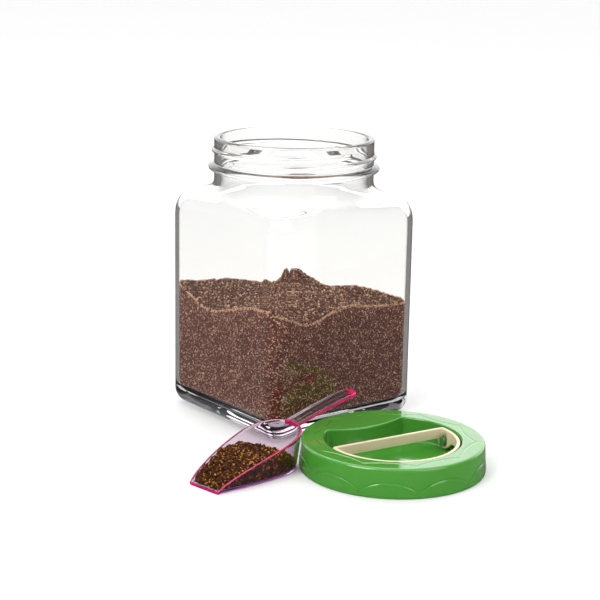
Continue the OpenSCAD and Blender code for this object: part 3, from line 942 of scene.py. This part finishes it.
def heap_radius(scoop, angle, grow):
    """Distance from the heap's middle to the outline of the bowl grown by that much, by angle."""
    s, w, ns, nw = bowl_outline(scoop, 401)
    s, w = s + grow * ns, w + grow * nw
    s = np.maximum(np.concatenate([[HEAP_FRONT], s, [HEAP_FRONT]]), HEAP_FRONT)
    w = np.concatenate([[0.0], w, [0.0]])
    turn = np.unwrap(np.arctan2(-(w), -(s - HEAP_MIDDLE)))
    order = np.argsort(turn)
    far = np.hypot(s - HEAP_MIDDLE, w)
    return np.interp(-np.mod(-angle, 2 * math.pi), turn[order], far[order])


def heap_place(angle, radius):
    """Place along and across the scoop, by angle and distance from the heap's middle."""
    return HEAP_MIDDLE - radius * np.cos(angle), -radius * np.sin(angle)


def heap_rings(scoop):
    """Rings of the heap's solid around its middle: out over the floor, up the wall, in on top."""
    angle = around(200, -math.pi)
    gap = scoop.wall / MM + 0.25
    low, foot, wall, wide = (heap_radius(scoop, angle, grow - gap)
                             for grow in (-0.9, 0.2, 0.0, FLARE * 10))
    slope = (wide - wall) / 10
    top = heap_top(*heap_place(angle, foot), scoop)
    z = gap + (top - gap) * span(0.15, 1, 7)
    r = (wall + slope * top - 0.2) * span(0.97, 0.05, 24)
    rings = round_rings(angle, (low * span(0.3, 1, 4), gap), (wall + slope * z - 0.2, z),
                        (r, heap_top(*heap_place(angle, r), scoop)))
    middle = float(heap_top(np.array([HEAP_MIDDLE]), np.array([0.0]), scoop)[0])
    return (rings * [-1, -1, 1] + [HEAP_MIDDLE, 0, 0], (HEAP_MIDDLE, 0, gap),
            (HEAP_MIDDLE, 0, middle))


def heap_grains(scoop, count):
    """Places, radii and paleness of loose grains over the heap."""
    rng = np.random.default_rng(23)
    angle = rng.uniform(-math.pi, math.pi, count)
    share = np.sqrt(rng.uniform(0, 1, count))
    r = heap_radius(scoop, angle, -scoop.wall / MM - 0.9)
    z = heap_top(*heap_place(angle, r * share), scoop)
    s, w = heap_place(angle, (r + FLARE * z * 0.85) * share)
    z = heap_top(s, w, scoop) + rng.uniform(-0.2, 0.5, count)
    return np.stack([s, w, z], -1), rng.uniform(0.45, 0.85, count), 0.0


# ------------------------------------------------------------------ operators

BACKDROP, CEILING = (0.615, 0.788, 0.0), (0.0, 0.0, 1.0)
CAMERA_PLACE, CAMERA_HEADING = (-0.6390, -0.8178, 0.3329), -38
YAW, PITCH, ROLL = (math.radians(a) for a in (0.31, 13.96, 1.04))
LAMP_AIM = (-0.03, -0.06, 0.08)
FLOOR_Z = -0.02
# painted shade and light on the floor, seen only in reflections: a dark floor colour, and a faint
# painted glow under the jar
FLOOR_PAINTED_DARK_IN_REFLECTIONS, PAINTED_GLOW_UNDER_JAR = (0.17, 0.16, 0.155), 0.55


def put(thing, axes, place):
    """Stand a camera or light at place, with its own X, Y and Z along the rows of axes."""
    piece = bpy.data.objects.new(thing.name, thing)
    bpy.context.scene.collection.objects.link(piece)
    matrix = np.eye(4)
    matrix[:3, :3] = np.asarray(axes).T
    matrix[:3, 3] = place
    piece.matrix_world = Matrix(matrix.tolist())
    return piece


class JAR_OT_stage(bpy.types.Operator):
    """Make the camera, the pale floor, the soft lights and the surroundings"""

    bl_idname = "storage_jar.stage"
    bl_label = "Stage"

    def execute(self, context):
        stage = context.scene.jar_stage
        self.camera(stage)
        self.floor(stage)
        self.surroundings()
        self.lamp("key_light", (-1.68, -0.21, 1.60), 1.1, 26.0)
        self.lamp("fill_light", (0.30, -1.90, 1.10), 1.3, 10.0)
        bpy.context.scene.view_settings.view_transform = "Standard"
        return {"FINISHED"}

    @staticmethod
    def camera(stage):
        """Camera in front of the jar's -X -Y corner, looking slightly down."""
        ahead = np.array([math.sin(YAW) * math.cos(PITCH), math.cos(YAW) * math.cos(PITCH),
                          -math.sin(PITCH)])
        right = np.array([math.cos(YAW), -math.sin(YAW), 0])
        up = np.cross(right, ahead)
        right, up = (math.cos(ROLL) * right + math.sin(ROLL) * up,
                     -math.sin(ROLL) * right + math.cos(ROLL) * up)
        data = bpy.data.cameras.new("camera")
        data.lens, data.sensor_width = stage.lens, 36.0
        data.clip_start, data.clip_end = 0.01, 50.0
        axes = turned(np.stack([right, up, -ahead]), math.radians(CAMERA_HEADING))
        bpy.context.scene.camera = put(data, axes, CAMERA_PLACE)

    @staticmethod
    def floor(stage):
        """Round pale floor, with the jar's base resting on it. Painted shade: its colour is darker
        where it is seen in reflections. Painted light: under the jar it glows faintly in those
        reflections."""
        t = column(np.geomspace(0.02, 1, 12))
        rings = round_rings(around(96), (t * stage.floor_radius / MM, FLOOR_Z))
        points, faces = skin(rings[::-1], last=(0, 0, FLOOR_Z))
        material, tree = new_material("floor_matte")
        place = place_on(tree)
        pale = blend(tree, noise(tree, place, 3.0, 3.0),
                     rgba([c * 0.985 for c in stage.floor_colour]), rgba(stage.floor_colour))
        # painted shade: after a glossy bounce the floor takes the dark colour; painted light: under the
        # jar it also glows there
        ray = node(tree, "ShaderNodeLightPath")
        painted_reflection_mask = maths(tree, "MINIMUM", ray.outputs["Glossy Depth"], 1.0)
        far = node(tree, "ShaderNodeVectorMath", {0: place}, operation="LENGTH").outputs["Value"]
        under = remap(tree, far, 0.078, 0.098, PAINTED_GLOW_UNDER_JAR, 0.0)
        show(tree, node(tree, "ShaderNodeBsdfPrincipled", {
            "Base Color": blend(tree, painted_reflection_mask, pale, rgba(FLOOR_PAINTED_DARK_IN_REFLECTIONS)), "Roughness": 0.9,
            "Specular IOR Level": 0.1, "Emission Color": (0.90, 0.92, 1.0, 1.0),
            "Emission Strength": maths(tree, "MULTIPLY", painted_reflection_mask, under)}))
        add_mesh("floor", points, faces, [material])

    @staticmethod
    def surroundings():
        """A plain studio: a bright wall beyond the jar, a soft ceiling and dim sides."""
        world = bpy.data.worlds.new("studio")
        bpy.context.scene.world = world
        world.use_nodes = True
        tree = world.node_tree
        tree.nodes.clear()
        direction = node(tree, "ShaderNodeTexCoord").outputs["Generated"]
        total = 0.12
        for towards, low, high, strength in ((BACKDROP, 0.15, 0.75, 1.60),
                                             (CEILING, 0.45, 0.95, 1.15)):
            along = node(tree, "ShaderNodeVectorMath", {0: direction, 1: towards},
                         operation="DOT_PRODUCT").outputs["Value"]
            lobe = remap(tree, along, low, high, interpolation="SMOOTHSTEP")
            total = maths(tree, "MULTIPLY_ADD", lobe, strength, total)
        light = node(tree, "ShaderNodeBackground", {"Color": (1, 1, 1, 1), "Strength": total})
        node(tree, "ShaderNodeOutputWorld", {"Surface": light.outputs[0]})

    @staticmethod
    def lamp(name, place, size, watts):
        """A square soft light at place, aimed at the middle of the jar and lid."""
        data = bpy.data.lights.new(name, "AREA")
        data.size, data.energy = size, watts
        aim = np.array(LAMP_AIM) - np.array(place)
        ahead = aim / np.linalg.norm(aim)
        right = np.cross(ahead, (0, 0, 1))
        right /= np.linalg.norm(right)
        put(data, [right, np.cross(right, ahead), -ahead], place)


class JAR_OT_glass(bpy.types.Operator):
    """Build the glass jar with its bead, screw thread and lip"""

    bl_idname = "storage_jar.glass"
    bl_label = "Glass Jar"

    def execute(self, context):
        jar = context.scene.jar_sizes
        rings, first, last = jar_rings(jar)
        points, faces = skin(rings, first, last)
        # the near-black edge colour is painted shade: dark lines along the glass's edges
        glass = clear_material("clear_glass", jar.glass_colour, (0.09, 0.095, 0.085),
                               (0.93, 0.94, 0.93), 0.0, GLASS_INDEX, 22.0, 0.035)
        piece = add_mesh("glass_body", points, faces, [glass])
        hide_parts("glass_jar")
        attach(piece, "jar")
        return {"FINISHED"}


class JAR_OT_fill(bpy.types.Operator):
    """Build the granules in the jar and the loose grains on top of them"""

    bl_idname = "storage_jar.fill"
    bl_label = "Granules"

    def execute(self, context):
        jar = context.scene.jar_sizes
        rings, first, last = fill_rings(jar)
        points, faces = skin(rings, first, last)
        body = grain_material("brown_granules", (0.024, 0.006, 0.003), (0.160, 0.042, 0.023),
                              (0.72, 0.40, 0.28), 0.24, size=0.00072)
        loose = grain_material("loose_granules", (0.028, 0.008, 0.004), (0.155, 0.052, 0.028),
                               (0.66, 0.41, 0.25), 0.30)
        solid = add_mesh("granule_fill", points, faces, [body])
        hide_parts("jar_granules")
        grains = add_grains("granule_top", grain_cloud(*fill_grains(jar, 7300, 2400), seed=3), loose)
        for piece in (solid, grains):
            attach(piece, "jar")
        return {"FINISHED"}


class JAR_OT_lid(bpy.types.Operator):
    """Build the lid, and finish its pins and its liner"""

    bl_idname = "storage_jar.lid"
    bl_label = "Lid"

    def execute(self, context):
        lid = context.scene.lid_sizes
        rings, first, last = lid_rings(lid)
        points, faces = skin(rings, first, last)
        green = plastic_material("green_plastic", lid.plastic_colour, 0.09, bump=0.012,
                                 Coat_Weight=0.7, Coat_Roughness=0.03, Subsurface_Weight=0.3,
                                 Subsurface_Radius=(0.003, 0.006, 0.002), Subsurface_Scale=1.0)
        piece = add_mesh("lid_moulding", turned(points, LID_TURN, LID_CENTRE), faces, [green])
        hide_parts("lid_shell")
        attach(piece, "lid")
        finishes = {
            "pivot_pins": plastic_material("green_pin_plastic", (0.05, 0.20, 0.05), 0.3),
            "lid_liner": plastic_material("liner_foam", (0.80, 0.80, 0.76), 0.7, cloud=0.1,
                                          bump=0.5)}
        for name, finish in finishes.items():
            materials = frame["nodes"][name].data.materials
            materials.clear()
            materials.append(finish)
        return {"FINISHED"}


class JAR_OT_handle(bpy.types.Operator):
    """Build the folding handle, with a hole through each ear for its pin"""

    bl_idname = "storage_jar.handle"
    bl_label = "Handle"

    def execute(self, context):
        lid = context.scene.lid_sizes
        points, faces = skin(handle_rings(lid), loop=True)
        cream = plastic_material("cream_plastic", lid.handle_colour, 0.34, cloud=0.25,
                                 Coat_Weight=0.15)
        piece = add_mesh("folding_handle", turned(points, LID_TURN, LID_CENTRE), faces, [cream])
        angle, u = around(64), column([HOLE_IN, HOLE_OUT])
        rod = np.stack([u + 0 * angle, PIVOT_HOLE * np.cos(angle) + 0 * u,
                        PIVOT_Z + PIVOT_HOLE * np.sin(angle) + 0 * u], -1)
        points, faces = skin(rod, (HOLE_IN, 0, PIVOT_Z), (HOLE_OUT, 0, PIVOT_Z))
        both = np.vstack([points, points * [-1, -1, 1]])
        faces = [np.vstack([f, f + len(points)]) for f in faces]
        cutter = add_mesh("pin_hole_cutter", turned(both, LID_TURN, LID_CENTRE), faces, [cream])
        cut = piece.modifiers.new("pin_holes", "BOOLEAN")
        cut.operation, cut.solver, cut.object = "DIFFERENCE", "MANIFOLD", cutter
        seen = piece.evaluated_get(context.evaluated_depsgraph_get())
        holed = bpy.data.meshes.new_from_object(seen)
        piece.modifiers.clear()
        piece.data = holed
        bpy.data.objects.remove(cutter)
        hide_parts("handle")
        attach(piece, "lid_handle")
        return {"FINISHED"}


class JAR_OT_scoop(bpy.types.Operator):
    """Build the clear scoop and the granules heaped in it"""

    bl_idname = "storage_jar.scoop"
    bl_label = "Scoop"

    def execute(self, context):
        scoop = context.scene.scoop_sizes
        place = (scoop.tip_x / MM, scoop.tip_y / MM)
        acrylic = clear_material("pink_acrylic", scoop.acrylic_colour, (0.42, 0.10, 0.26),
                                 (0.93, 0.86, 0.90), 0.03, ACRYLIC_INDEX, 60.0, 0.03)
        # painted light: the rim and the heel glow by emission, the heel in lilac
        edge = edge_with_painted_glow("pink_edge_painted_glow", scoop.edge_colour, (0.92, 0.7, 0.8), 0.35)
        heel = edge_with_painted_glow("lilac_heel_painted_glow", (0.50, 0.22, 0.55), (0.92, 0.86, 0.92), 0.25)
        first, quads, tris, spots = bowl_mesh(scoop)
        grip, end = grip_rings(scoop)
        grip_points, (grip_quads, grip_caps) = skin(grip, tuple(grip[0].mean(0)), end)
        points = np.vstack([first, grip_points])
        faces = [np.vstack([quads, grip_quads + len(first)]),
                 np.vstack([tris, grip_caps + len(first)])]
        # the handle's two long edges and its round end get the painted glow too
        around_grip = grip.shape[1]
        sections = len(grip_quads) // around_grip
        side = np.tile(np.abs(np.cos(around(around_grip, math.pi / around_grip))) > 0.93, sections)
        ends = np.arange(len(grip_quads)) // around_grip > sections - 10
        spots = np.concatenate([spots[:len(quads)], np.where(side | ends, 1, 0),
                                spots[len(quads):], np.ones(len(grip_caps), int)])
        piece = add_mesh("scoop_acrylic", turned(points, scoop.turn, place), faces,
                         [acrylic, edge, heel], spots)
        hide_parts("scoop")
        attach(piece, "loose_scoop")
        body = grain_material("scoop_granules", (0.010, 0.002, 0.0006), (0.110, 0.030, 0.005),
                              (0.62, 0.25, 0.04), 0.18, size=0.0013)
        loose = grain_material("scoop_loose_granules", (0.008, 0.002, 0.0006), (0.100, 0.026, 0.004),
                               (0.70, 0.28, 0.05), 0.20)
        points, faces = skin(*heap_rings(scoop))
        heap = add_mesh("heap_fill", turned(points, scoop.turn, place), faces, [body])
        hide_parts("scoop_granules")
        grains = add_grains("heap_grains", grain_cloud(*heap_grains(scoop, 4200), seed=5), loose,
                            (scoop.turn, place))
        for made in (heap, grains):
            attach(made, "loose_scoop")
        return {"FINISHED"}


class JAR_PT_panel(bpy.types.Panel):
    """Lists the jar's builders and their settings"""

    bl_idname = "JAR_PT_panel"
    bl_label = "Storage Jar"
    bl_space_type = "VIEW_3D"
    bl_region_type = "UI"
    bl_category = "Storage Jar"

    def draw(self, context):
        layout = self.layout
        for operator in OPERATORS:
            layout.operator(operator.bl_idname)
        for name, group in SETTINGS.items():
            box = layout.box()
            box.label(text=group.__doc__)
            for field in group.__annotations__:
                box.prop(getattr(context.scene, name), field)


OPERATORS = (JAR_OT_stage, JAR_OT_glass, JAR_OT_fill, JAR_OT_lid, JAR_OT_handle, JAR_OT_scoop)
SETTINGS = {"jar_stage": StageSettings, "jar_sizes": JarSettings, "lid_sizes": LidSettings,
            "scoop_sizes": ScoopSettings}


def register():
    """Register the settings, the operators and the panel."""
    for name, group in SETTINGS.items():
        bpy.utils.register_class(group)
        setattr(bpy.types.Scene, name, bpy.props.PointerProperty(type=group))
    for cls in (*OPERATORS, JAR_PT_panel):
        bpy.utils.register_class(cls)


def unregister():
    """Take the panel, the operators and the settings away again."""
    for cls in (JAR_PT_panel, *reversed(OPERATORS)):
        bpy.utils.unregister_class(cls)
    for name, group in SETTINGS.items():
        delattr(bpy.types.Scene, name)
        bpy.utils.unregister_class(group)


def main():
    register()
    for build in ("stage", "glass", "fill", "lid", "handle", "scoop"):
        getattr(bpy.ops.storage_jar, build)()


if __name__ == "__main__":
    main()
